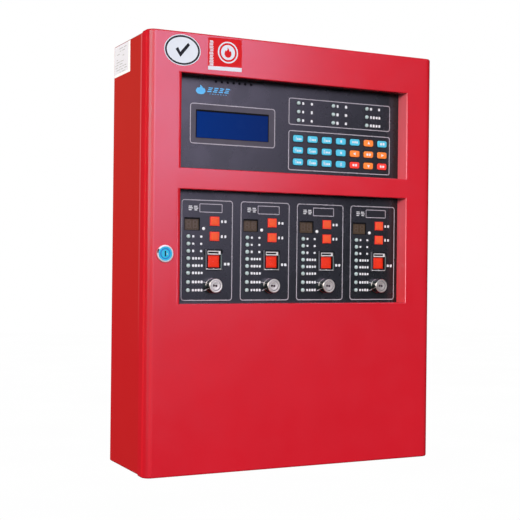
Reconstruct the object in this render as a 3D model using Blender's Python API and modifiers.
"""Wall-mounted fire alarm control panel: a red sheet-steel cabinet with a hinged door.

Frame: origin on the wall, at the centre of the cabinet's back. +X is to the right as seen
by someone reading the panel, +Y goes into the wall, +Z is up. The door's front face is
DEPTH in front of the wall. Places are given as x, depth behind the door's front face, and z.
"""

import math

import bmesh
import bpy
from mathutils import Matrix, Vector

MM = 0.001

# Overall size
WIDTH = 380 * MM
HEIGHT = 500 * MM
DEPTH = 120 * MM
TOUCH = 0.3 * MM  # gap left between two pieces that touch

# Door: a pan of folded sheet with two windows
DOOR_SHEET = 1.2 * MM
DOOR_DEPTH = 20 * MM
DOOR_CORNER = 10 * MM
DOOR_FOLD = 2 * MM
WINDOW_X = (-149.2 * MM, 152 * MM)
UPPER_WINDOW_Z = (97.3 * MM, 204 * MM)
LOWER_WINDOW_Z = (-56.3 * MM, 73 * MM)
WINDOW_FOLD_X = (4.2 * MM, 1.1 * MM)  # how far the rounded edges reach, left and right
WINDOW_FOLD_Z = (1 * MM, 1.2 * MM)  # below and above
WINDOW_FOLD_DEPTH = 2 * MM
WINDOW_FOLD_STEPS = 4
STUD_X = (-120 * MM, 120 * MM)
STUD_RADIUS = 1.5 * MM
STUD_OFFSET = 4.3 * MM  # from a window's edge to its studs
STUD_END = 27 * MM

# Cabinet body: a box of folded sheet, set back behind the door by a narrow seam
BODY_SHEET = 1.5 * MM
BODY_INSET = 0.8 * MM
BODY_FRONT = 22 * MM
BODY_LIP = 11 * MM
BODY_FOLD = 2 * MM
BODY_HALF_WIDTH = WIDTH / 2 - BODY_INSET
BODY_HALF_HEIGHT = HEIGHT / 2 - BODY_INSET
KEYHOLE_X = 174 * MM
KEYHOLE_Z = 220 * MM
KEYHOLE_HEAD = 4.5 * MM
KEYHOLE_NECK = 2.5 * MM
KEYHOLE_RISE = 9 * MM
CABLE_ENTRY_X = (-90 * MM, 90 * MM)
CABLE_ENTRY_DEPTH = 75 * MM
CABLE_ENTRY_RADIUS = 13 * MM

# Concealed lift-off hinges, on the right
HINGE_X = WIDTH / 2 - 5.2 * MM
HINGE_DEPTH = 10 * MM
HINGE_Z = {"upper": 190 * MM, "lower": -190 * MM}
KNUCKLE_RADIUS = 3.2 * MM
KNUCKLE_BORE = 1.8 * MM
KNUCKLE_LENGTH = 20 * MM
PIN_RADIUS = 1.6 * MM

# Faceplates, on the rear ends of the window frames
PLATE_DEPTH = DOOR_DEPTH
PLATE_THICKNESS = 2 * MM
PLATE_BACK = PLATE_DEPTH + PLATE_THICKNESS
PLATE_X = (-158.5 * MM, 158.5 * MM)
PLATE_MARGIN = 8.6 * MM
LED_RADIUS = 2.3 * MM
LED_HOLE = 2.6 * MM
LED_TOP = PLATE_DEPTH - 0.8 * MM
LED_SIDES = 6
LED_HOLE_SIDES = 8

# Upper panel
LCD_X = (-123.8 * MM, -30.5 * MM)
LCD_Z = (134.3 * MM, 166.6 * MM)
SPEAKER_HOLES = 7
SPEAKER_X = -99.3 * MM
SPEAKER_PITCH = 7.52 * MM
SPEAKER_Z = 200.4 * MM
SPEAKER_RADIUS = 1.3 * MM
STATUS_LED_X = [9.6 * MM + 47.9 * MM * column for column in range(3)]
STATUS_LED_Z = [183.7 * MM - 10.3 * MM * row for row in range(3)]
KEY_X = [9.2 * MM + 19.8 * MM * column for column in range(7)]
KEY_Z = [141 * MM - 14.07 * MM * row for row in range(3)]
KEY_SIZE = (13.2 * MM, 7.7 * MM)
KEY_CORNER = 1.8 * MM
KEY_GAP = 0.35 * MM
UPPER_BOARD_X = (-148 * MM, 148 * MM)
UPPER_BOARD_Z = (93 * MM, 206 * MM)
UPPER_BOARD_DEPTH = 28 * MM

# Lower panel: four equal zones, each placed from the left edge of its printed outline
ZONES = 4
ZONE_LEFT = -140 * MM
ZONE_PITCH = 74.65 * MM
ZONE_LED_X = 8.4 * MM
ZONE_LED_Z = [z * MM for z in (20.5, 12.1, 3.7, -4.7, -13.1, -21.5, -31.9, -41.3)]
DISPLAY_X = (3.6 * MM, 22.1 * MM)
DISPLAY_Z = (27.8 * MM, 41.8 * MM)
SQUARE_X = 41 * MM
SQUARE_Z = {"sounder": 38.5 * MM, "stop": 21 * MM}
SQUARE_SIZE = (11.6 * MM, 10.8 * MM)
SQUARE_TRAVEL = 0.8 * MM
RELEASE_X = 39.7 * MM
RELEASE_FRAME_Z = (-18 * MM, 6 * MM)
RELEASE_FRAME_WIDTH = 20 * MM
RELEASE_BUTTON_Z = -7.8 * MM
RELEASE_BUTTON_SIZE = (14.4 * MM, 14.4 * MM)
RELEASE_BUTTON_FRONT = PLATE_DEPTH - 1.6 * MM
RELEASE_TRAVEL = 3 * MM
COVER_AXIS_Z = 3.6 * MM
COVER_AXIS_DEPTH = 15.4 * MM
MODE_SWITCH_X = 39.2 * MM
MODE_SWITCH_Z = -36 * MM
MODE_SWITCH_RADIUS = 8.5 * MM
MODE_SWITCH_PROUD = 10.6 * MM
LOWER_BOARD_X = (-146 * MM, 152 * MM)
LOWER_BOARD_Z = (-54 * MM, 62 * MM)
LOWER_BOARD_DEPTH = 30 * MM
BOARD_THICKNESS = 1.6 * MM

# Door lock, a quarter-turn cam lock on the left
LOCK_X = -168 * MM
LOCK_Z = 0.0
LOCK_HEAD_RADIUS = 9.8 * MM
LOCK_BARREL_RADIUS = 8 * MM
LOCK_PLUG_RADIUS = 6 * MM
LOCK_HEAD_PROUD = 2.5 * MM
CAM_DEPTH = 26.6 * MM
CAM_REACH = 16 * MM

# Inside the cabinet
CHASSIS_DEPTH = 110 * MM
CHASSIS_SHEET = 1.5 * MM
CHASSIS_X = (-164 * MM, 164 * MM)
CHASSIS_Z = (-146 * MM, 236 * MM)
STANDOFF_RADIUS = 3 * MM
MAIN_BOARD_X = (-158 * MM, 58 * MM)
MAIN_BOARD_Z = (-30 * MM, 195 * MM)
MAIN_BOARD_DEPTH = 100 * MM
SUPPLY_X = (72 * MM, 158 * MM)
SUPPLY_Z = (50 * MM, 195 * MM)
SUPPLY_DEPTH = 74 * MM
TERMINAL_X = (-150 * MM, 150 * MM)
TERMINAL_Z = (210 * MM, 228 * MM)
TERMINAL_DEPTH = 94 * MM
TERMINAL_WAYS = 20
BATTERY_SIZE = (151 * MM, 65 * MM, 94 * MM)
BATTERY_DEPTH = 51 * MM
BATTERY_GAP = 6 * MM
HARNESS_RADIUS = 3 * MM


# Helpers


def behind(depth):
    """The y of a place this far behind the door's front face."""
    return depth - DEPTH


def around(centre, size, gap=0.0):
    """A span of this size about a centre, made longer at both ends by gap."""
    return (centre - size / 2 - gap, centre + size / 2 + gap)


def inner(span, inset):
    """A span made shorter at both ends."""
    return (span[0] + inset, span[1] - inset)


def make_collection(name):
    collection = bpy.data.collections.new(name)
    bpy.context.scene.collection.children.link(collection)
    return collection


def make_material(name, colour, roughness, metallic=0.0, alpha=1.0):
    material = bpy.data.materials.new(name)
    material.use_nodes = True
    shader = material.node_tree.nodes["Principled BSDF"]
    shader.inputs["Base Color"].default_value = (*colour, 1.0)
    shader.inputs["Roughness"].default_value = roughness
    shader.inputs["Metallic"].default_value = metallic
    shader.inputs["Alpha"].default_value = alpha
    return material


def add_box(mesh, x, depth, z, corner=0.0, segments=2):
    """A box between two values on each axis. Its four edges along y are rounded by corner."""
    centre = Vector((sum(x) / 2, behind(sum(depth) / 2), sum(z) / 2))
    size = (x[1] - x[0], depth[1] - depth[0], z[1] - z[0])
    place = Matrix.Translation(centre) @ Matrix.Diagonal((*size, 1.0))
    made = bmesh.ops.create_cube(mesh, size=1.0, matrix=place)
    if corner:
        edges = {edge for vertex in made["verts"] for edge in vertex.link_edges}
        along = [
            edge
            for edge in edges
            if abs(edge.verts[0].co.y - edge.verts[1].co.y) > size[1] / 2
        ]
        bmesh.ops.bevel(
            mesh, geom=along, offset=corner, segments=segments, profile=0.5, affect="EDGES"
        )


def add_rod(mesh, start, end, radius, segments=16):
    """A cylinder from one point to another, both given as x, depth, z."""
    a, b = (Vector((p[0], behind(p[1]), p[2])) for p in (start, end))
    turn = (b - a).to_track_quat("Z", "Y").to_matrix().to_4x4()
    bmesh.ops.create_cone(
        mesh,
        cap_ends=True,
        segments=segments,
        radius1=radius,
        radius2=radius,
        depth=(b - a).length,
        matrix=Matrix.Translation((a + b) / 2) @ turn,
    )


def add_post(mesh, x, z, depth, radius, segments=16):
    """A cylinder along y, between two depths."""
    add_rod(mesh, (x, depth[0], z), (x, depth[1], z), radius, segments)


def make_object(name, mesh, material, pivot=(0.0, 0.0, 0.0), collection=None):
    """An object from a bmesh made in world space, with its origin at pivot."""
    bmesh.ops.translate(mesh, verts=mesh.verts, vec=-Vector(pivot))
    bmesh.ops.recalc_face_normals(mesh, faces=mesh.faces)
    data = bpy.data.meshes.new(name)
    mesh.to_mesh(data)
    mesh.free()
    if material:
        data.materials.append(material)
    made = bpy.data.objects.new(name, data)
    made.location = pivot
    (collection or PARTS).objects.link(made)
    return made


def combine(target, mesh, operation):
    """Joins or cuts target by a bmesh made in world space."""
    name = f"{target.name}_{operation.lower()}_{len(target.modifiers) + 1}"
    tool = make_object(name, mesh, None, target.location, CUTTERS)
    tool.parent = target
    tool.location = (0.0, 0.0, 0.0)
    tool.hide_render = True
    tool.display_type = "WIRE"
    modifier = target.modifiers.new(operation.title(), "BOOLEAN")
    modifier.operation = operation
    modifier.solver = "EXACT"
    modifier.object = tool


def cut(target, mesh):
    combine(target, mesh, "DIFFERENCE")


def join(target, mesh):
    combine(target, mesh, "UNION")


def turn_profile(name, profile, x, z, material, segments=24):
    """A piece turned about an axis along y, from points of (radius, depth).

    The profile runs front to back along its outer side. It starts and ends on the axis, or
    it closes on itself round a bore.
    """
    data = bpy.data.meshes.new(name)
    points = [(radius, 0.0, -depth) for radius, depth in profile]
    count = len(points)
    edges = [(i, i + 1) for i in range(count - 1)]
    if profile[0][0] > 0:
        edges.append((count - 1, 0))
    data.from_pydata(points, edges, [])
    data.materials.append(material)
    made = bpy.data.objects.new(name, data)
    made.location = (x, behind(0.0), z)
    made.rotation_euler = (math.radians(90), 0.0, 0.0)
    screw = made.modifiers.new("Turn", "SCREW")
    screw.steps = screw.render_steps = segments
    screw.use_merge_vertices = True
    screw.merge_threshold = 0.01 * MM
    PARTS.objects.link(made)
    return made


def attach(child, parent):
    """Parents child without moving it."""
    child.parent = parent
    child.matrix_parent_inverse = Matrix.Translation(parent.location).inverted()


def make_joint(name, place):
    """An empty on a joint's axis, which the moving pieces hang from."""
    empty = bpy.data.objects.new(name, None)
    empty.empty_display_size = 10 * MM
    empty.location = (place[0], behind(place[1]), place[2])
    PARTS.objects.link(empty)
    return empty


# Door


def edges_at(mesh, depth):
    """The edges that lie at a depth behind the door's front face."""
    y = behind(depth)
    return [e for e in mesh.edges if all(abs(v.co.y - y) < 0.1 * MM for v in e.verts)]


def add_window_ring(mesh, window, share, depth):
    """A window's outline at a depth, opened out by a share of its rounded edges."""
    left = WINDOW_X[0] - share * WINDOW_FOLD_X[0]
    right = WINDOW_X[1] + share * WINDOW_FOLD_X[1]
    low = window[0] - share * WINDOW_FOLD_Z[0]
    high = window[1] + share * WINDOW_FOLD_Z[1]
    corners = ((left, low), (right, low), (right, high), (left, high))
    return [mesh.verts.new((x, behind(depth), z)) for x, z in corners]


def make_window_cutter(window):
    """A cutter for a window whose edges round off into the door's face, as folded sheet does."""
    cutter = bmesh.new()
    rings = [add_window_ring(cutter, window, 1.0, -1 * MM)]
    for step in range(WINDOW_FOLD_STEPS + 1):
        turn = math.pi / 2 * step / WINDOW_FOLD_STEPS
        depth = WINDOW_FOLD_DEPTH * (1 - math.cos(turn))
        rings.append(add_window_ring(cutter, window, 1 - math.sin(turn), depth))
    rings.append(add_window_ring(cutter, window, 0.0, DOOR_DEPTH + 1 * MM))
    for ring, following in zip(rings, rings[1:]):
        for i in range(4):
            side = (ring[i], ring[(i + 1) % 4], following[(i + 1) % 4], following[i])
            cutter.faces.new(side)
    cutter.faces.new(rings[0])
    cutter.faces.new(rings[-1])
    return cutter


def add_pan(mesh, inset, depth, corner, fold):
    """The door's outer or inner form: a slab with two round upright edges at its front."""
    half_x = WIDTH / 2 - inset
    half_z = HEIGHT / 2 - inset
    centre = Vector((0.0, behind(sum(depth) / 2), 0.0))
    size = (2 * half_x, depth[1] - depth[0], 2 * half_z)
    place = Matrix.Translation(centre) @ Matrix.Diagonal((*size, 1.0))
    bmesh.ops.create_cube(mesh, size=1.0, matrix=place)
    at_front = edges_at(mesh, depth[0])
    upright = [e for e in at_front if abs(e.verts[0].co.x - e.verts[1].co.x) < 0.1 * MM]
    bmesh.ops.bevel(
        mesh, geom=upright, offset=corner, segments=12, profile=0.5, affect="EDGES"
    )
    if fold:
        at_back = set(edges_at(mesh, depth[1]))
        ends = [
            edge
            for edge in mesh.edges
            if edge not in at_back
            and all(abs(abs(vertex.co.z) - half_z) < 0.1 * MM for vertex in edge.verts)
            and abs(edge.verts[0].co.z - edge.verts[1].co.z) < 0.1 * MM
        ]
        bmesh.ops.bevel(
            mesh, geom=ends, offset=fold, segments=3, profile=0.5, affect="EDGES"
        )


def make_door(material):
    mesh = bmesh.new()
    add_pan(mesh, 0.0, (0.0, DOOR_DEPTH), DOOR_CORNER, DOOR_FOLD)
    door = make_object("door_panel", mesh, material)

    hollow = bmesh.new()
    inner_corner = DOOR_CORNER - DOOR_SHEET
    add_pan(hollow, DOOR_SHEET, (DOOR_SHEET, DOOR_DEPTH + 1 * MM), inner_corner, 0.0)
    cut(door, hollow)

    frames = bmesh.new()
    for low, high in (UPPER_WINDOW_Z, LOWER_WINDOW_Z):
        add_box(
            frames,
            (WINDOW_X[0] - DOOR_SHEET, WINDOW_X[1] + DOOR_SHEET),
            (DOOR_SHEET / 2, DOOR_DEPTH - TOUCH),
            (low - DOOR_SHEET, high + DOOR_SHEET),
        )
    for x, z in stud_places():
        depth = (DOOR_SHEET / 2, STUD_END)
        add_post(frames, x, z, depth, STUD_RADIUS, 8)
    join(door, frames)

    for window in (UPPER_WINDOW_Z, LOWER_WINDOW_Z):
        cut(door, make_window_cutter(window))

    holes = bmesh.new()
    add_post(
        holes, LOCK_X, LOCK_Z, (-1 * MM, 3 * MM), LOCK_BARREL_RADIUS + TOUCH, 24
    )
    for z in HINGE_Z.values():
        add_box(
            holes,
            (HINGE_X + 1.2 * MM, WIDTH / 2 + 1 * MM),
            (HINGE_DEPTH - 4 * MM, DOOR_DEPTH + 1 * MM),
            (z - KNUCKLE_LENGTH - 2 * MM, z),
        )
    cut(door, holes)
    return door


def stud_places():
    """(x, z) of the studs that hold the faceplates."""
    levels = []
    for low, high in (UPPER_WINDOW_Z, LOWER_WINDOW_Z):
        levels += [low - STUD_OFFSET, high + STUD_OFFSET]
    return [(x, z) for x in STUD_X for z in levels]


# Cabinet body


def make_body(material):
    outer = bmesh.new()
    add_box(
        outer,
        (-BODY_HALF_WIDTH, BODY_HALF_WIDTH),
        (BODY_FRONT, DEPTH),
        (-BODY_HALF_HEIGHT, BODY_HALF_HEIGHT),
        BODY_FOLD,
        3,
    )
    body = make_object("cabinet_body", outer, material)

    hollow = bmesh.new()
    inner_x = BODY_HALF_WIDTH - BODY_SHEET
    inner_z = BODY_HALF_HEIGHT - BODY_SHEET
    inside = (BODY_FRONT + BODY_SHEET, DEPTH - BODY_SHEET)
    add_box(hollow, (-inner_x, inner_x), inside, (-inner_z, inner_z))
    cut(body, hollow)

    mouth = bmesh.new()
    mouth_x = BODY_HALF_WIDTH - BODY_LIP
    mouth_z = BODY_HALF_HEIGHT - BODY_LIP
    add_box(
        mouth,
        (-mouth_x, mouth_x),
        (BODY_FRONT - 1 * MM, BODY_FRONT + 5 * MM),
        (-mouth_z, mouth_z),
    )
    cut(body, mouth)

    posts = bmesh.new()
    for x, z in chassis_corners():
        depth = (CHASSIS_DEPTH + CHASSIS_SHEET + TOUCH, DEPTH - BODY_SHEET / 2)
        add_post(posts, x, z, depth, 5 * MM, 8)
    join(body, posts)

    holes = bmesh.new()
    necks = bmesh.new()
    wall = (DEPTH - 3 * MM, DEPTH + 1 * MM)
    for x in (-KEYHOLE_X, KEYHOLE_X):
        for z in (-KEYHOLE_Z, KEYHOLE_Z):
            add_post(holes, x, z, wall, KEYHOLE_HEAD, 16)
            neck_z = (z, z + KEYHOLE_RISE + KEYHOLE_NECK)
            add_box(necks, around(x, 2 * KEYHOLE_NECK), wall, neck_z, 0.9 * KEYHOLE_NECK, 3)
    for x in CABLE_ENTRY_X:
        top = BODY_HALF_HEIGHT
        add_rod(
            holes,
            (x, CABLE_ENTRY_DEPTH, top - 3 * MM),
            (x, CABLE_ENTRY_DEPTH, top + 3 * MM),
            CABLE_ENTRY_RADIUS,
            20,
        )
    cut(body, holes)
    cut(body, necks)
    return body


def chassis_corners():
    inset = 10 * MM
    return [(x, z) for x in inner(CHASSIS_X, inset) for z in inner(CHASSIS_Z, inset)]


# Hinges


def make_hinge(side, steel):
    """The body's leaf, the door's leaf above it, and the pin through both."""
    z = HINGE_Z[side]
    below = (z - KNUCKLE_LENGTH, z - TOUCH)
    above = (z + TOUCH, z + KNUCKLE_LENGTH)

    leaf = bmesh.new()
    add_knuckle(leaf, below)
    body_leaf = make_object(f"hinge_leaf_body_{side}", leaf, steel)
    strap = bmesh.new()
    foot_back = BODY_FRONT - TOUCH
    arm_x = (HINGE_X - 0.9 * MM, HINGE_X + 0.9 * MM)
    add_box(strap, arm_x, (HINGE_DEPTH + 2.4 * MM, foot_back - 0.5 * MM), below)
    join(body_leaf, strap)
    foot = bmesh.new()
    foot_x = (HINGE_X - 6 * MM, HINGE_X + 3.6 * MM)
    add_box(foot, foot_x, (foot_back - 1.5 * MM, foot_back), below)
    join(body_leaf, foot)

    leaf = bmesh.new()
    add_knuckle(leaf, above)
    door_leaf = make_object(f"hinge_leaf_door_{side}", leaf, steel)
    bend_x = HINGE_X - 4.8 * MM
    strap = bmesh.new()
    add_box(
        strap,
        (bend_x - 1.5 * MM, HINGE_X - 2.2 * MM),
        (HINGE_DEPTH - 0.8 * MM, HINGE_DEPTH + 0.8 * MM),
        above,
    )
    join(door_leaf, strap)
    web = bmesh.new()
    skin = DOOR_SHEET + TOUCH
    add_box(
        web, (bend_x - 1.6 * MM, bend_x), (skin + 0.4 * MM, HINGE_DEPTH + 0.5 * MM), above
    )
    join(door_leaf, web)
    foot = bmesh.new()
    add_box(foot, (bend_x - 16 * MM, bend_x - 0.1 * MM), (skin, skin + 1.5 * MM), above)
    join(door_leaf, foot)

    for target, span in ((body_leaf, below), (door_leaf, above)):
        bore = bmesh.new()
        low = (HINGE_X, HINGE_DEPTH, span[0] - 1 * MM)
        high = (HINGE_X, HINGE_DEPTH, span[1] + 1 * MM)
        add_rod(bore, low, high, KNUCKLE_BORE, 16)
        cut(target, bore)

    pin = bmesh.new()
    low = (HINGE_X, HINGE_DEPTH, below[0] - 1 * MM)
    high = (HINGE_X, HINGE_DEPTH, above[1] - 1 * MM)
    add_rod(pin, low, high, PIN_RADIUS, 16)
    pin_object = make_object(f"hinge_pin_{side}", pin, steel)
    return body_leaf, door_leaf, pin_object


def add_knuckle(mesh, span):
    low = (HINGE_X, HINGE_DEPTH, span[0])
    high = (HINGE_X, HINGE_DEPTH, span[1])
    add_rod(mesh, low, high, KNUCKLE_RADIUS, 16)


# Faceplates and boards


def plate_span(window):
    return (window[0] - PLATE_MARGIN, window[1] + PLATE_MARGIN)


def make_faceplate(name, window, material, holes, standoffs, board_depth):
    mesh = bmesh.new()
    add_box(mesh, PLATE_X, (PLATE_DEPTH, PLATE_BACK), plate_span(window), 2 * MM)
    plate = make_object(name, mesh, material)
    pillars = bmesh.new()
    for x, z in standoffs:
        depth = (PLATE_BACK - 0.5 * MM, board_depth - TOUCH)
        add_post(pillars, x, z, depth, STANDOFF_RADIUS, 8)
    join(plate, pillars)
    for x, z in stud_places():
        if plate_span(window)[0] < z < plate_span(window)[1]:
            depth = (PLATE_DEPTH - 1 * MM, PLATE_BACK + 1 * MM)
            add_post(holes, x, z, depth, STUD_RADIUS + 0.5 * MM, 8)
    cut(plate, holes)
    return plate


def through_plate():
    return (PLATE_DEPTH - 1 * MM, PLATE_BACK + 1 * MM)


def make_upper_plate(material):
    holes = bmesh.new()
    add_box(holes, LCD_X, through_plate(), LCD_Z)
    for x in KEY_X:
        for z in KEY_Z:
            spans = (around(x, KEY_SIZE[0], KEY_GAP), around(z, KEY_SIZE[1], KEY_GAP))
            add_box(holes, spans[0], through_plate(), spans[1], KEY_CORNER + KEY_GAP)
    for x in STATUS_LED_X:
        for z in STATUS_LED_Z:
            add_post(holes, x, z, through_plate(), LED_HOLE, LED_HOLE_SIDES)
    for i in range(SPEAKER_HOLES):
        x = SPEAKER_X + SPEAKER_PITCH * i
        add_post(holes, x, SPEAKER_Z, through_plate(), SPEAKER_RADIUS, 8)
    standoffs = board_corners(UPPER_BOARD_X, UPPER_BOARD_Z)
    return make_faceplate(
        "upper_faceplate", UPPER_WINDOW_Z, material, holes, standoffs, UPPER_BOARD_DEPTH
    )


def board_corners(x, z):
    return [(px, pz) for px in inner(x, 5 * MM) for pz in inner(z, 5 * MM)]


def make_keypad(material):
    """The silicone mat: one moulding, whose keys stand up through the faceplate."""
    mesh = bmesh.new()
    margin = 3 * MM
    x = (KEY_X[0] - KEY_SIZE[0] / 2 - margin, KEY_X[-1] + KEY_SIZE[0] / 2 + margin)
    z = (KEY_Z[-1] - KEY_SIZE[1] / 2 - margin, KEY_Z[0] + KEY_SIZE[1] / 2 + margin)
    base = (PLATE_BACK + TOUCH, UPPER_BOARD_DEPTH - TOUCH)
    add_box(mesh, x, base, z)
    mat = make_object("keypad_mat", mesh, material)
    keys = bmesh.new()
    for kx in KEY_X:
        for kz in KEY_Z:
            depth = (PLATE_DEPTH - 1 * MM, base[0] + 1 * MM)
            spans = (around(kx, KEY_SIZE[0]), around(kz, KEY_SIZE[1]))
            add_box(keys, spans[0], depth, spans[1], KEY_CORNER)
    join(mat, keys)
    return mat


def make_lcd(material):
    """The display module: a steel-framed glass that stands close behind the faceplate."""
    mesh = bmesh.new()
    margin = 7 * MM
    x = (LCD_X[0] - margin, LCD_X[1] + margin)
    z = (LCD_Z[0] - margin, LCD_Z[1] + margin)
    front = PLATE_BACK + TOUCH
    add_box(mesh, x, (front, UPPER_BOARD_DEPTH - TOUCH), z)
    module = make_object("lcd_module", mesh, material)
    glass = bmesh.new()
    depth = (PLATE_DEPTH + 0.5 * MM, front + 0.5 * MM)
    add_box(glass, inner(LCD_X, TOUCH), depth, inner(LCD_Z, TOUCH))
    join(module, glass)
    return module


def make_upper_board(material):
    mesh = bmesh.new()
    board = (UPPER_BOARD_DEPTH, UPPER_BOARD_DEPTH + BOARD_THICKNESS)
    add_box(mesh, UPPER_BOARD_X, board, UPPER_BOARD_Z)
    made = make_object("display_board", mesh, material)
    parts = bmesh.new()
    for x in STATUS_LED_X:
        for z in STATUS_LED_Z:
            add_post(parts, x, z, (LED_TOP, board[0] + 0.5 * MM), LED_RADIUS, LED_SIDES)
    speaker = (PLATE_BACK + TOUCH, board[0] + 0.5 * MM)
    middle = SPEAKER_X + SPEAKER_PITCH * (SPEAKER_HOLES - 1) / 2
    add_box(parts, around(middle, 50 * MM), speaker, (194 * MM, 205 * MM))
    rear = (board[1] - 0.5 * MM, board[1] + 8 * MM)
    add_box(parts, (126 * MM, 136 * MM), rear, (160 * MM, 190 * MM))
    add_box(parts, (-60 * MM, -36 * MM), (rear[0], board[1] + 2.5 * MM), (138 * MM, 162 * MM))
    add_box(parts, (40 * MM, 52 * MM), (rear[0], board[1] + 3 * MM), (120 * MM, 150 * MM))
    join(made, parts)
    return made


# One zone of the lower panel


def zone_left(zone):
    return ZONE_LEFT + ZONE_PITCH * zone


def make_lower_plate(material):
    holes = bmesh.new()
    for zone in range(ZONES):
        left = zone_left(zone)
        add_box(
            holes,
            (left + DISPLAY_X[0] - TOUCH, left + DISPLAY_X[1] + TOUCH),
            through_plate(),
            (DISPLAY_Z[0] - TOUCH, DISPLAY_Z[1] + TOUCH),
        )
        for z in SQUARE_Z.values():
            spans = (around(left + SQUARE_X, SQUARE_SIZE[0], TOUCH), around(z, SQUARE_SIZE[1], TOUCH))
            add_box(holes, spans[0], through_plate(), spans[1])
        frame_x = around(left + RELEASE_X, RELEASE_FRAME_WIDTH - 3 * MM, TOUCH)
        frame_z = inner(RELEASE_FRAME_Z, 1.5 * MM - TOUCH)
        add_box(holes, frame_x, through_plate(), frame_z)
        add_post(
            holes,
            left + MODE_SWITCH_X,
            MODE_SWITCH_Z,
            through_plate(),
            MODE_SWITCH_RADIUS - 0.5 * MM + TOUCH,
            24,
        )
        for z in ZONE_LED_Z:
            add_post(holes, left + ZONE_LED_X, z, through_plate(), LED_HOLE, LED_HOLE_SIDES)
    standoffs = board_corners(LOWER_BOARD_X, LOWER_BOARD_Z)
    return make_faceplate(
        "lower_faceplate", LOWER_WINDOW_Z, material, holes, standoffs, LOWER_BOARD_DEPTH
    )


def make_lower_board(material):
    mesh = bmesh.new()
    board = (LOWER_BOARD_DEPTH, LOWER_BOARD_DEPTH + BOARD_THICKNESS)
    add_box(mesh, LOWER_BOARD_X, board, LOWER_BOARD_Z)
    made = make_object("zone_board", mesh, material)
    parts = bmesh.new()
    holes = bmesh.new()
    past_board = (board[0] - 2 * MM, board[1] + 2 * MM)
    for zone in range(ZONES):
        left = zone_left(zone)
        for z in ZONE_LED_Z:
            led = (LED_TOP, board[0] + 0.5 * MM)
            add_post(parts, left + ZONE_LED_X, z, led, LED_RADIUS, LED_SIDES)
        for z in SQUARE_Z.values():
            switch = (board[0] - 2 * MM, board[0] + 0.5 * MM)
            add_box(parts, around(left + SQUARE_X, 6 * MM), switch, around(z, 6 * MM))
        chip = (board[1] - 0.5 * MM, board[1] + 2.5 * MM)
        add_box(parts, around(left + 22 * MM, 10 * MM), chip, (4 * MM, 24 * MM))
        add_box(
            holes,
            around(left + RELEASE_X, RELEASE_FRAME_WIDTH - 3 * MM, 1 * MM),
            past_board,
            inner(RELEASE_FRAME_Z, 0.5 * MM),
        )
        add_post(
            holes, left + MODE_SWITCH_X, MODE_SWITCH_Z, past_board, MODE_SWITCH_RADIUS + 1 * MM, 20
        )
    rear = (board[1] - 0.5 * MM, board[1] + 8 * MM)
    add_box(parts, (140 * MM, 149 * MM), rear, (30 * MM, 56 * MM))
    join(made, parts)
    cut(made, holes)
    return made


def make_display(zone, material):
    """A two-digit seven-segment display, its face just below the faceplate's."""
    left = zone_left(zone)
    mesh = bmesh.new()
    x = (left + DISPLAY_X[0], left + DISPLAY_X[1])
    add_box(mesh, x, (PLATE_DEPTH + 0.7 * MM, LOWER_BOARD_DEPTH - TOUCH), DISPLAY_Z)
    return make_object(f"zone_{zone + 1}_display", mesh, material)


def make_square_button(zone, role, material):
    x = zone_left(zone) + SQUARE_X
    z = SQUARE_Z[role]
    rear = LOWER_BOARD_DEPTH - 2 * MM - TOUCH - SQUARE_TRAVEL
    pivot = (x, behind(rear), z)
    mesh = bmesh.new()
    cap = (PLATE_DEPTH - 1.2 * MM, rear)
    add_box(mesh, around(x, SQUARE_SIZE[0]), cap, around(z, SQUARE_SIZE[1]))
    rounded = [
        edge
        for edge in mesh.edges
        if all(v.co.y < behind(PLATE_DEPTH) for v in edge.verts)
    ]
    bmesh.ops.bevel(
        mesh, geom=rounded, offset=0.6 * MM, segments=2, profile=0.5, affect="EDGES"
    )
    button = make_object(f"zone_{zone + 1}_{role}_button", mesh, material, pivot)
    collar = bmesh.new()
    add_box(
        collar,
        around(x, SQUARE_SIZE[0] + 2 * MM),
        (PLATE_BACK + TOUCH, PLATE_BACK + 1.5 * MM),
        around(z, SQUARE_SIZE[1] + 2 * MM),
    )
    join(button, collar)
    return button


def make_release_frame(zone, material):
    """The housing of the guarded release button, with two lugs for its cover."""
    x = zone_left(zone) + RELEASE_X
    bezel = (PLATE_DEPTH - 2.5 * MM, PLATE_DEPTH - TOUCH)
    rear = 40 * MM
    mesh = bmesh.new()
    add_box(mesh, around(x, RELEASE_FRAME_WIDTH), bezel, RELEASE_FRAME_Z)
    frame = make_object(f"zone_{zone + 1}_release_frame", mesh, material)
    body = bmesh.new()
    add_box(
        body,
        around(x, RELEASE_FRAME_WIDTH - 3 * MM),
        (bezel[0] + 0.5 * MM, rear),
        inner(RELEASE_FRAME_Z, 1.5 * MM),
    )
    join(frame, body)
    lugs = bmesh.new()
    for side in (-1, 1):
        span = sorted((x + side * 6.6 * MM, x + side * 9.2 * MM))
        lug_z = around(COVER_AXIS_Z, 3.2 * MM)
        add_box(lugs, span, (COVER_AXIS_DEPTH - 1.6 * MM, bezel[0] + 0.5 * MM), lug_z)
    join(frame, lugs)
    well = bmesh.new()
    width, height = RELEASE_BUTTON_SIZE
    add_box(
        well,
        around(x, width, TOUCH),
        (0.0, rear - 2 * MM),
        around(RELEASE_BUTTON_Z, height, TOUCH),
    )
    ends = [(x + side * 12 * MM, COVER_AXIS_DEPTH, COVER_AXIS_Z) for side in (-1, 1)]
    add_rod(well, *ends, 0.9 * MM, 8)
    cut(frame, well)
    return frame


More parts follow.
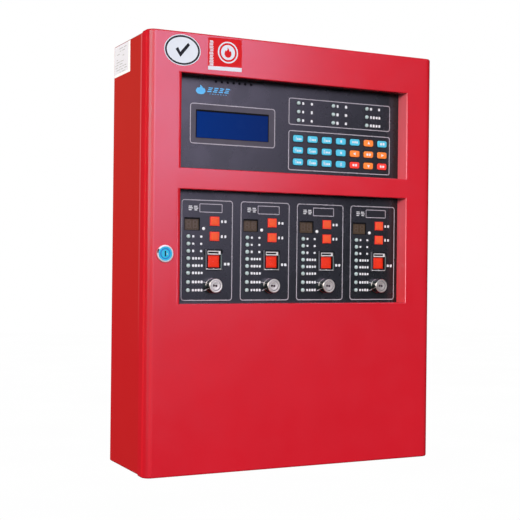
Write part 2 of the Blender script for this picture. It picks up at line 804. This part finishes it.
def make_release_button(zone, material):
    x = zone_left(zone) + RELEASE_X
    front = RELEASE_BUTTON_FRONT
    width, height = RELEASE_BUTTON_SIZE
    mesh = bmesh.new()
    add_box(mesh, around(x, width), (front, 34 * MM), around(RELEASE_BUTTON_Z, height))
    rounded = [
        edge
        for edge in mesh.edges
        if all(v.co.y < behind(PLATE_DEPTH) for v in edge.verts)
    ]
    bmesh.ops.bevel(
        mesh, geom=rounded, offset=0.8 * MM, segments=2, profile=0.5, affect="EDGES"
    )
    pivot = (x, behind(front), RELEASE_BUTTON_Z)
    return make_object(f"zone_{zone + 1}_release_button", mesh, material, pivot)


def make_release_cover(zone, material):
    """The clear lid over the release button, hung on two stub pins at its top."""
    x = zone_left(zone) + RELEASE_X
    pivot = (x, behind(COVER_AXIS_DEPTH), COVER_AXIS_Z)
    lid = (COVER_AXIS_DEPTH - 1.5 * MM, COVER_AXIS_DEPTH - 0.3 * MM)
    lid_bottom = RELEASE_FRAME_Z[0] + 0.6 * MM
    lid_top = COVER_AXIS_Z - 2.6 * MM
    half = 9.4 * MM
    mesh = bmesh.new()
    add_box(mesh, (x - half, x + half), lid, (lid_bottom, lid_top))
    cover = make_object(f"zone_{zone + 1}_release_cover", mesh, material, pivot)
    skirt = bmesh.new()
    skirt_depth = (lid[1] - 0.5 * MM, PLATE_DEPTH - 2.5 * MM - TOUCH)
    for side in (-1, 1):
        span = sorted((x + side * (half - 1.1 * MM), x + side * (half - 0.01 * MM)))
        add_box(skirt, span, skirt_depth, (lid_bottom, lid_top - 0.01 * MM))
    join(cover, skirt)
    tongue = bmesh.new()
    add_box(tongue, (x - 6 * MM, x + 6 * MM), lid, (lid_top - 1 * MM, COVER_AXIS_Z + 0.2 * MM))
    join(cover, tongue)
    barrel = bmesh.new()
    ends = [(x + side * 6.2 * MM, COVER_AXIS_DEPTH, COVER_AXIS_Z) for side in (-1, 1)]
    add_rod(barrel, *ends, 1.45 * MM, 12)
    join(cover, barrel)
    pins = bmesh.new()
    ends = [(x + side * 8.8 * MM, COVER_AXIS_DEPTH, COVER_AXIS_Z) for side in (-1, 1)]
    add_rod(pins, *ends, 0.6 * MM, 8)
    join(cover, pins)
    return cover


def make_mode_switch(zone, chrome):
    """A two-position key switch: its plated housing and the plug that the key turns."""
    x = zone_left(zone) + MODE_SWITCH_X
    face = PLATE_DEPTH - MODE_SWITCH_PROUD
    shank = MODE_SWITCH_RADIUS - 0.5 * MM
    bore = 5.6 * MM
    rear = 52 * MM
    housing = turn_profile(
        f"zone_{zone + 1}_mode_switch",
        [
            (bore, face),
            (MODE_SWITCH_RADIUS - 0.8 * MM, face),
            (MODE_SWITCH_RADIUS, face + 0.8 * MM),
            (MODE_SWITCH_RADIUS, PLATE_DEPTH - TOUCH),
            (shank, PLATE_DEPTH - TOUCH),
            (shank, rear - 12 * MM),
            (9.2 * MM, rear - 12 * MM),
            (9.2 * MM, rear),
            (bore, rear),
        ],
        x,
        MODE_SWITCH_Z,
        chrome,
    )
    mesh = bmesh.new()
    add_post(mesh, x, MODE_SWITCH_Z, (face + 0.2 * MM, rear + 2 * MM), bore - 0.25 * MM, 24)
    pivot = (x, behind(face), MODE_SWITCH_Z)
    plug = make_object(f"zone_{zone + 1}_mode_plug", mesh, chrome, pivot)
    slot = bmesh.new()
    add_box(slot, around(x, 5 * MM), (0.0, face + 14 * MM), around(MODE_SWITCH_Z, 1.6 * MM))
    cut(plug, slot)
    return housing, plug


# Door lock


def make_lock(chrome, blue, zinc):
    head_back = -TOUCH
    barrel_back = 22 * MM
    seat = -0.9 * MM
    housing = turn_profile(
        "door_lock_body",
        [
            (LOCK_BARREL_RADIUS + 0.35 * MM, -LOCK_HEAD_PROUD),
            (LOCK_HEAD_RADIUS - 0.8 * MM, -LOCK_HEAD_PROUD),
            (LOCK_HEAD_RADIUS, 0.8 * MM - LOCK_HEAD_PROUD),
            (LOCK_HEAD_RADIUS, head_back),
            (LOCK_BARREL_RADIUS, head_back),
            (LOCK_BARREL_RADIUS, barrel_back),
            (LOCK_PLUG_RADIUS + 0.25 * MM, barrel_back),
            (LOCK_PLUG_RADIUS + 0.25 * MM, seat),
            (LOCK_BARREL_RADIUS + 0.35 * MM, seat),
        ],
        LOCK_X,
        LOCK_Z,
        chrome,
    )

    nut_mesh = bmesh.new()
    nut_depth = (DOOR_SHEET + TOUCH, DOOR_SHEET + 5 * MM)
    add_post(nut_mesh, LOCK_X, LOCK_Z, nut_depth, 12.4 * MM, 6)
    nut = make_object("door_lock_nut", nut_mesh, zinc)
    bore = bmesh.new()
    add_post(bore, LOCK_X, LOCK_Z, (0.0, 10 * MM), LOCK_BARREL_RADIUS + 0.25 * MM, 24)
    cut(nut, bore)

    pivot = (LOCK_X, behind(0.0), LOCK_Z)
    plug_mesh = bmesh.new()
    face = 0.3 * MM - LOCK_HEAD_PROUD
    add_post(plug_mesh, LOCK_X, LOCK_Z, (face, seat - TOUCH), LOCK_BARREL_RADIUS, 24)
    plug = make_object("door_lock_plug", plug_mesh, blue, pivot)
    shaft = bmesh.new()
    add_post(shaft, LOCK_X, LOCK_Z, (face + 0.5 * MM, CAM_DEPTH - TOUCH), LOCK_PLUG_RADIUS, 24)
    join(plug, shaft)
    slot = bmesh.new()
    add_box(slot, around(LOCK_X, 1.7 * MM), (face - 1 * MM, 12 * MM), around(LOCK_Z, 7.4 * MM))
    cut(plug, slot)

    cam_mesh = bmesh.new()
    cam_z = (LOCK_Z - CAM_REACH, LOCK_Z + 7.5 * MM)
    cam_depth = (CAM_DEPTH, CAM_DEPTH + 2.2 * MM)
    add_box(cam_mesh, around(LOCK_X, 14 * MM), cam_depth, cam_z, 4 * MM, 3)
    cam = make_object("door_lock_cam", cam_mesh, zinc, pivot)
    return housing, nut, plug, cam


# Inside the cabinet


def make_chassis(material):
    mesh = bmesh.new()
    plate = (CHASSIS_DEPTH, CHASSIS_DEPTH + CHASSIS_SHEET)
    add_box(mesh, CHASSIS_X, plate, CHASSIS_Z)
    chassis = make_object("chassis_plate", mesh, material)
    pillars = bmesh.new()
    for x, z in board_corners(MAIN_BOARD_X, MAIN_BOARD_Z):
        depth = (MAIN_BOARD_DEPTH + BOARD_THICKNESS + TOUCH, CHASSIS_DEPTH + 0.5 * MM)
        add_post(pillars, x, z, depth, STANDOFF_RADIUS, 8)
    join(chassis, pillars)
    return chassis


def make_main_board(material):
    mesh = bmesh.new()
    board = (MAIN_BOARD_DEPTH, MAIN_BOARD_DEPTH + BOARD_THICKNESS)
    add_box(mesh, MAIN_BOARD_X, board, MAIN_BOARD_Z)
    made = make_object("main_board", mesh, material)
    parts = bmesh.new()
    root = board[0] + 0.5 * MM
    for i in range(6):
        left = -148 * MM + i * 24 * MM
        add_box(parts, (left, left + 15 * MM), (board[0] - 15 * MM, root), (160 * MM, 186 * MM))
    for x, z, width, height, rise in (
        (-70, 90, 30, 30, 3),
        (-20, 70, 18, 26, 3),
        (-120, 100, 22, 14, 3),
        (-110, 40, 50, 12, 10),
        (46, 60, 9, 60, 9),
        (30, -18, 26, 10, 9),
    ):
        add_box(
            parts,
            around(x * MM, width * MM),
            (board[0] - rise * MM, root),
            around(z * MM, height * MM),
        )
    for x in (-20, 0, 20):
        add_post(parts, x * MM, 125 * MM, (board[0] - 18 * MM, root), 6 * MM, 12)
    join(made, parts)
    return made


def make_supply(material):
    """The switch-mode supply, in a steel case with a row of vent slots."""
    mesh = bmesh.new()
    add_box(mesh, SUPPLY_X, (SUPPLY_DEPTH, CHASSIS_DEPTH - TOUCH), SUPPLY_Z)
    supply = make_object("power_supply", mesh, material)
    slots = bmesh.new()
    slot_depth = (SUPPLY_DEPTH - 1 * MM, SUPPLY_DEPTH + 3 * MM)
    for i in range(9):
        z = SUPPLY_Z[0] + 32 * MM + i * 10 * MM
        add_box(slots, inner(SUPPLY_X, 14 * MM), slot_depth, (z, z + 4 * MM))
    add_box(
        slots,
        (SUPPLY_X[0] + 6 * MM, SUPPLY_X[1] - 6 * MM),
        (SUPPLY_DEPTH - 1 * MM, SUPPLY_DEPTH + 16 * MM),
        (SUPPLY_Z[0] - 1 * MM, SUPPLY_Z[0] + 14 * MM),
    )
    cut(supply, slots)
    return supply


def make_terminals(material):
    """The field wiring terminals: one moulded row with a screw well for each way."""
    mesh = bmesh.new()
    add_box(mesh, TERMINAL_X, (TERMINAL_DEPTH, CHASSIS_DEPTH - TOUCH), TERMINAL_Z)
    block = make_object("terminal_block", mesh, material)
    wells = bmesh.new()
    pitch = (TERMINAL_X[1] - TERMINAL_X[0]) / TERMINAL_WAYS
    for i in range(TERMINAL_WAYS):
        x = TERMINAL_X[0] + pitch * (i + 0.5)
        depth = (TERMINAL_DEPTH - 1 * MM, TERMINAL_DEPTH + 5 * MM)
        add_box(wells, around(x, 8 * MM), depth, (TERMINAL_Z[0] + 3 * MM, TERMINAL_Z[0] + 11 * MM))
    cut(block, wells)
    return block


def make_battery(side, material):
    """A sealed 12 V battery, standing on the cabinet's floor."""
    width, thickness, height = BATTERY_SIZE
    sign = {"left": -1, "right": 1}[side]
    x = sorted((sign * BATTERY_GAP / 2, sign * (BATTERY_GAP / 2 + width)))
    low = BODY_SHEET + TOUCH - BODY_HALF_HEIGHT
    mesh = bmesh.new()
    add_box(mesh, x, (BATTERY_DEPTH, BATTERY_DEPTH + thickness), (low, low + height), 3 * MM)
    battery = make_object(f"battery_{side}", mesh, material)
    tabs = bmesh.new()
    tab_depth = around(BATTERY_DEPTH + 12 * MM, 1 * MM)
    top = low + height
    for share in (0.12, 0.88):
        centre = x[0] + (x[1] - x[0]) * share
        add_box(tabs, around(centre, 6 * MM), tab_depth, (top - 1 * MM, top + 6 * MM))
    join(battery, tabs)
    return battery


def make_battery_strap(material):
    """A steel bar that keeps both batteries against the back, on two legs from the wall."""
    half = BATTERY_GAP / 2 + BATTERY_SIZE[0] + 1 * MM
    bar_front = BATTERY_DEPTH - TOUCH - 2 * MM
    z = (-205 * MM, -190 * MM)
    mesh = bmesh.new()
    add_box(mesh, (-half - 3 * MM, half + 3 * MM), (bar_front, bar_front + 2 * MM), z)
    strap = make_object("battery_strap", mesh, material)
    legs = bmesh.new()
    for side in (-1, 1):
        x = sorted((side * half, side * (half + 2 * MM)))
        add_box(legs, x, (bar_front + 0.5 * MM, DEPTH - BODY_SHEET - 1 * MM), inner(z, 0.5 * MM))
    join(strap, legs)
    feet = bmesh.new()
    for side in (-1, 1):
        foot = sorted((side * (half + 0.5 * MM), side * (half + 16 * MM)))
        back = DEPTH - BODY_SHEET - TOUCH
        add_box(feet, foot, (back - 2 * MM, back), z)
    join(strap, feet)
    return strap


def make_grommet(side, x, rubber):
    """A rubber grommet in a cable entry, turned about an upright axis."""
    top = BODY_HALF_HEIGHT
    groove = CABLE_ENTRY_RADIUS - TOUCH
    flange = CABLE_ENTRY_RADIUS + 3 * MM
    bore = 8 * MM
    wall_top = top + TOUCH
    wall_bottom = top - BODY_SHEET - TOUCH
    profile = [
        (bore, wall_top + 1.2 * MM),
        (flange - 0.8 * MM, wall_top + 1.2 * MM),
        (flange, wall_top + 0.4 * MM),
        (flange, wall_top),
        (groove, wall_top),
        (groove, wall_bottom),
        (flange, wall_bottom),
        (flange, wall_bottom - 1.5 * MM),
        (flange - 1 * MM, wall_bottom - 2.5 * MM),
        (bore, wall_bottom - 2.5 * MM),
    ]
    data = bpy.data.meshes.new(f"cable_grommet_{side}")
    points = [(radius, 0.0, height) for radius, height in profile]
    edges = [(i, (i + 1) % len(points)) for i in range(len(points))]
    data.from_pydata(points, edges, [])
    data.materials.append(rubber)
    grommet = bpy.data.objects.new(f"cable_grommet_{side}", data)
    grommet.location = (x, behind(CABLE_ENTRY_DEPTH), 0.0)
    screw = grommet.modifiers.new("Turn", "SCREW")
    screw.steps = screw.render_steps = 20
    screw.use_merge_vertices = True
    screw.merge_threshold = 0.01 * MM
    PARTS.objects.link(grommet)
    return grommet


def make_harness(material):
    """The cable between door and cabinet. It drops along the hinge side, so that it twists
    more than it bends when the door opens."""
    route = [
        (144.5, 39.9, 44),
        (145.5, 46, 43.5),
        (153, 50, 41),
        (162, 46, 34),
        (167, 40, 26),
        (168, 38, 6),
        (168, 41, -16),
        (168, 47, -38),
        (165, 55, -58),
        (152, 68, -72),
        (126, 80, -76),
        (92, 86, -70),
        (58, 88, -52),
        (37, 82, -28),
        (31, 84, -19),
        (30, 90.7, -18),
    ]
    points = smooth_route([Vector(p) * MM for p in route], 3)
    curve = bpy.data.curves.new("door_harness", "CURVE")
    curve.dimensions = "3D"
    spline = curve.splines.new("POLY")
    spline.points.add(len(points) - 1)
    for point, place in zip(spline.points, points):
        point.co = (place.x, behind(place.y), place.z, 1.0)
    curve.bevel_depth = HARNESS_RADIUS
    curve.bevel_resolution = 2
    curve.use_fill_caps = True
    curve.materials.append(material)
    harness = bpy.data.objects.new("door_harness", curve)
    PARTS.objects.link(harness)
    return harness


def smooth_route(places, steps):
    """Points on a Catmull-Rom curve through places."""
    padded = [2 * places[0] - places[1], *places, 2 * places[-1] - places[-2]]
    points = []
    for a, b, c, d in zip(padded, padded[1:], padded[2:], padded[3:]):
        for i in range(steps):
            t = i / steps
            points.append(
                0.5
                * (
                    2 * b
                    + (c - a) * t
                    + (2 * a - 5 * b + 4 * c - d) * t**2
                    + (3 * b - a - 3 * c + d) * t**3
                )
            )
    return [*points, places[-1]]


# The whole object


def make_zone(zone, paints):
    """The pieces of one zone, as (fixed pieces, moving pieces)."""
    fixed = [make_display(zone, paints["display"]), make_release_frame(zone, paints["black"])]
    moving = [make_square_button(zone, role, paints["orange"]) for role in SQUARE_Z]
    moving.append(make_release_button(zone, paints["red_button"]))
    moving.append(make_release_cover(zone, paints["clear"]))
    housing, plug = make_mode_switch(zone, paints["chrome"])
    return [*fixed, housing], [*moving, plug]


def main():
    paints = {
        "red": make_material("red_paint", (0.55, 0.012, 0.022), 0.42),
        "panel": make_material("panel_black", (0.03, 0.03, 0.035), 0.5),
        "black": make_material("black_plastic", (0.015, 0.015, 0.017), 0.4),
        "chrome": make_material("nickel_plate", (0.75, 0.73, 0.7), 0.22, 1.0),
        "zinc": make_material("zinc_steel", (0.62, 0.62, 0.6), 0.38, 1.0),
        "blue": make_material("lock_blue", (0.03, 0.42, 0.8), 0.35),
        "orange": make_material("orange_button", (0.9, 0.13, 0.03), 0.4),
        "red_button": make_material("release_red", (0.85, 0.02, 0.01), 0.35),
        "clear": make_material("clear_plastic", (0.85, 0.88, 0.9), 0.08, 0.0, 0.3),
        "display": make_material("smoked_display", (0.08, 0.06, 0.04), 0.25),
        "lcd": make_material("lcd_blue", (0.01, 0.035, 0.2), 0.15),
        "keypad": make_material("keypad_blue", (0.06, 0.42, 0.72), 0.55),
        "board": make_material("circuit_board", (0.02, 0.16, 0.06), 0.5),
        "terminal": make_material("terminal_green", (0.03, 0.3, 0.09), 0.5),
        "battery": make_material("battery_grey", (0.06, 0.065, 0.07), 0.55),
        "rubber": make_material("rubber_black", (0.02, 0.02, 0.02), 0.8),
        "sleeve": make_material("harness_black", (0.02, 0.02, 0.025), 0.6),
    }
    door_joint = make_joint("door_hinge_axis", (HINGE_X, HINGE_DEPTH, 0.0))
    on_door = [make_door(paints["red"])]
    make_body(paints["red"])
    for side in HINGE_Z:
        on_door.append(make_hinge(side, paints["zinc"])[1])
    on_door += [
        make_upper_plate(paints["panel"]),
        make_lower_plate(paints["panel"]),
        make_lcd(paints["lcd"]),
        make_keypad(paints["keypad"]),
        make_upper_board(paints["board"]),
        make_lower_board(paints["board"]),
    ]
    for zone in range(ZONES):
        fixed, moving = make_zone(zone, paints)
        on_door += fixed + moving
    on_door += make_lock(paints["chrome"], paints["blue"], paints["zinc"])
    for piece in on_door:
        attach(piece, door_joint)

    make_chassis(paints["zinc"])
    make_main_board(paints["board"])
    make_supply(paints["zinc"])
    make_terminals(paints["terminal"])
    for side in ("left", "right"):
        make_battery(side, paints["battery"])
    make_battery_strap(paints["zinc"])
    for side, x in zip(("left", "right"), CABLE_ENTRY_X):
        make_grommet(side, x, paints["rubber"])
    make_harness(paints["sleeve"])


for old in list(bpy.data.objects):
    bpy.data.objects.remove(old)
PARTS = make_collection("fire_alarm_control_panel")
CUTTERS = make_collection("cutters")
main()
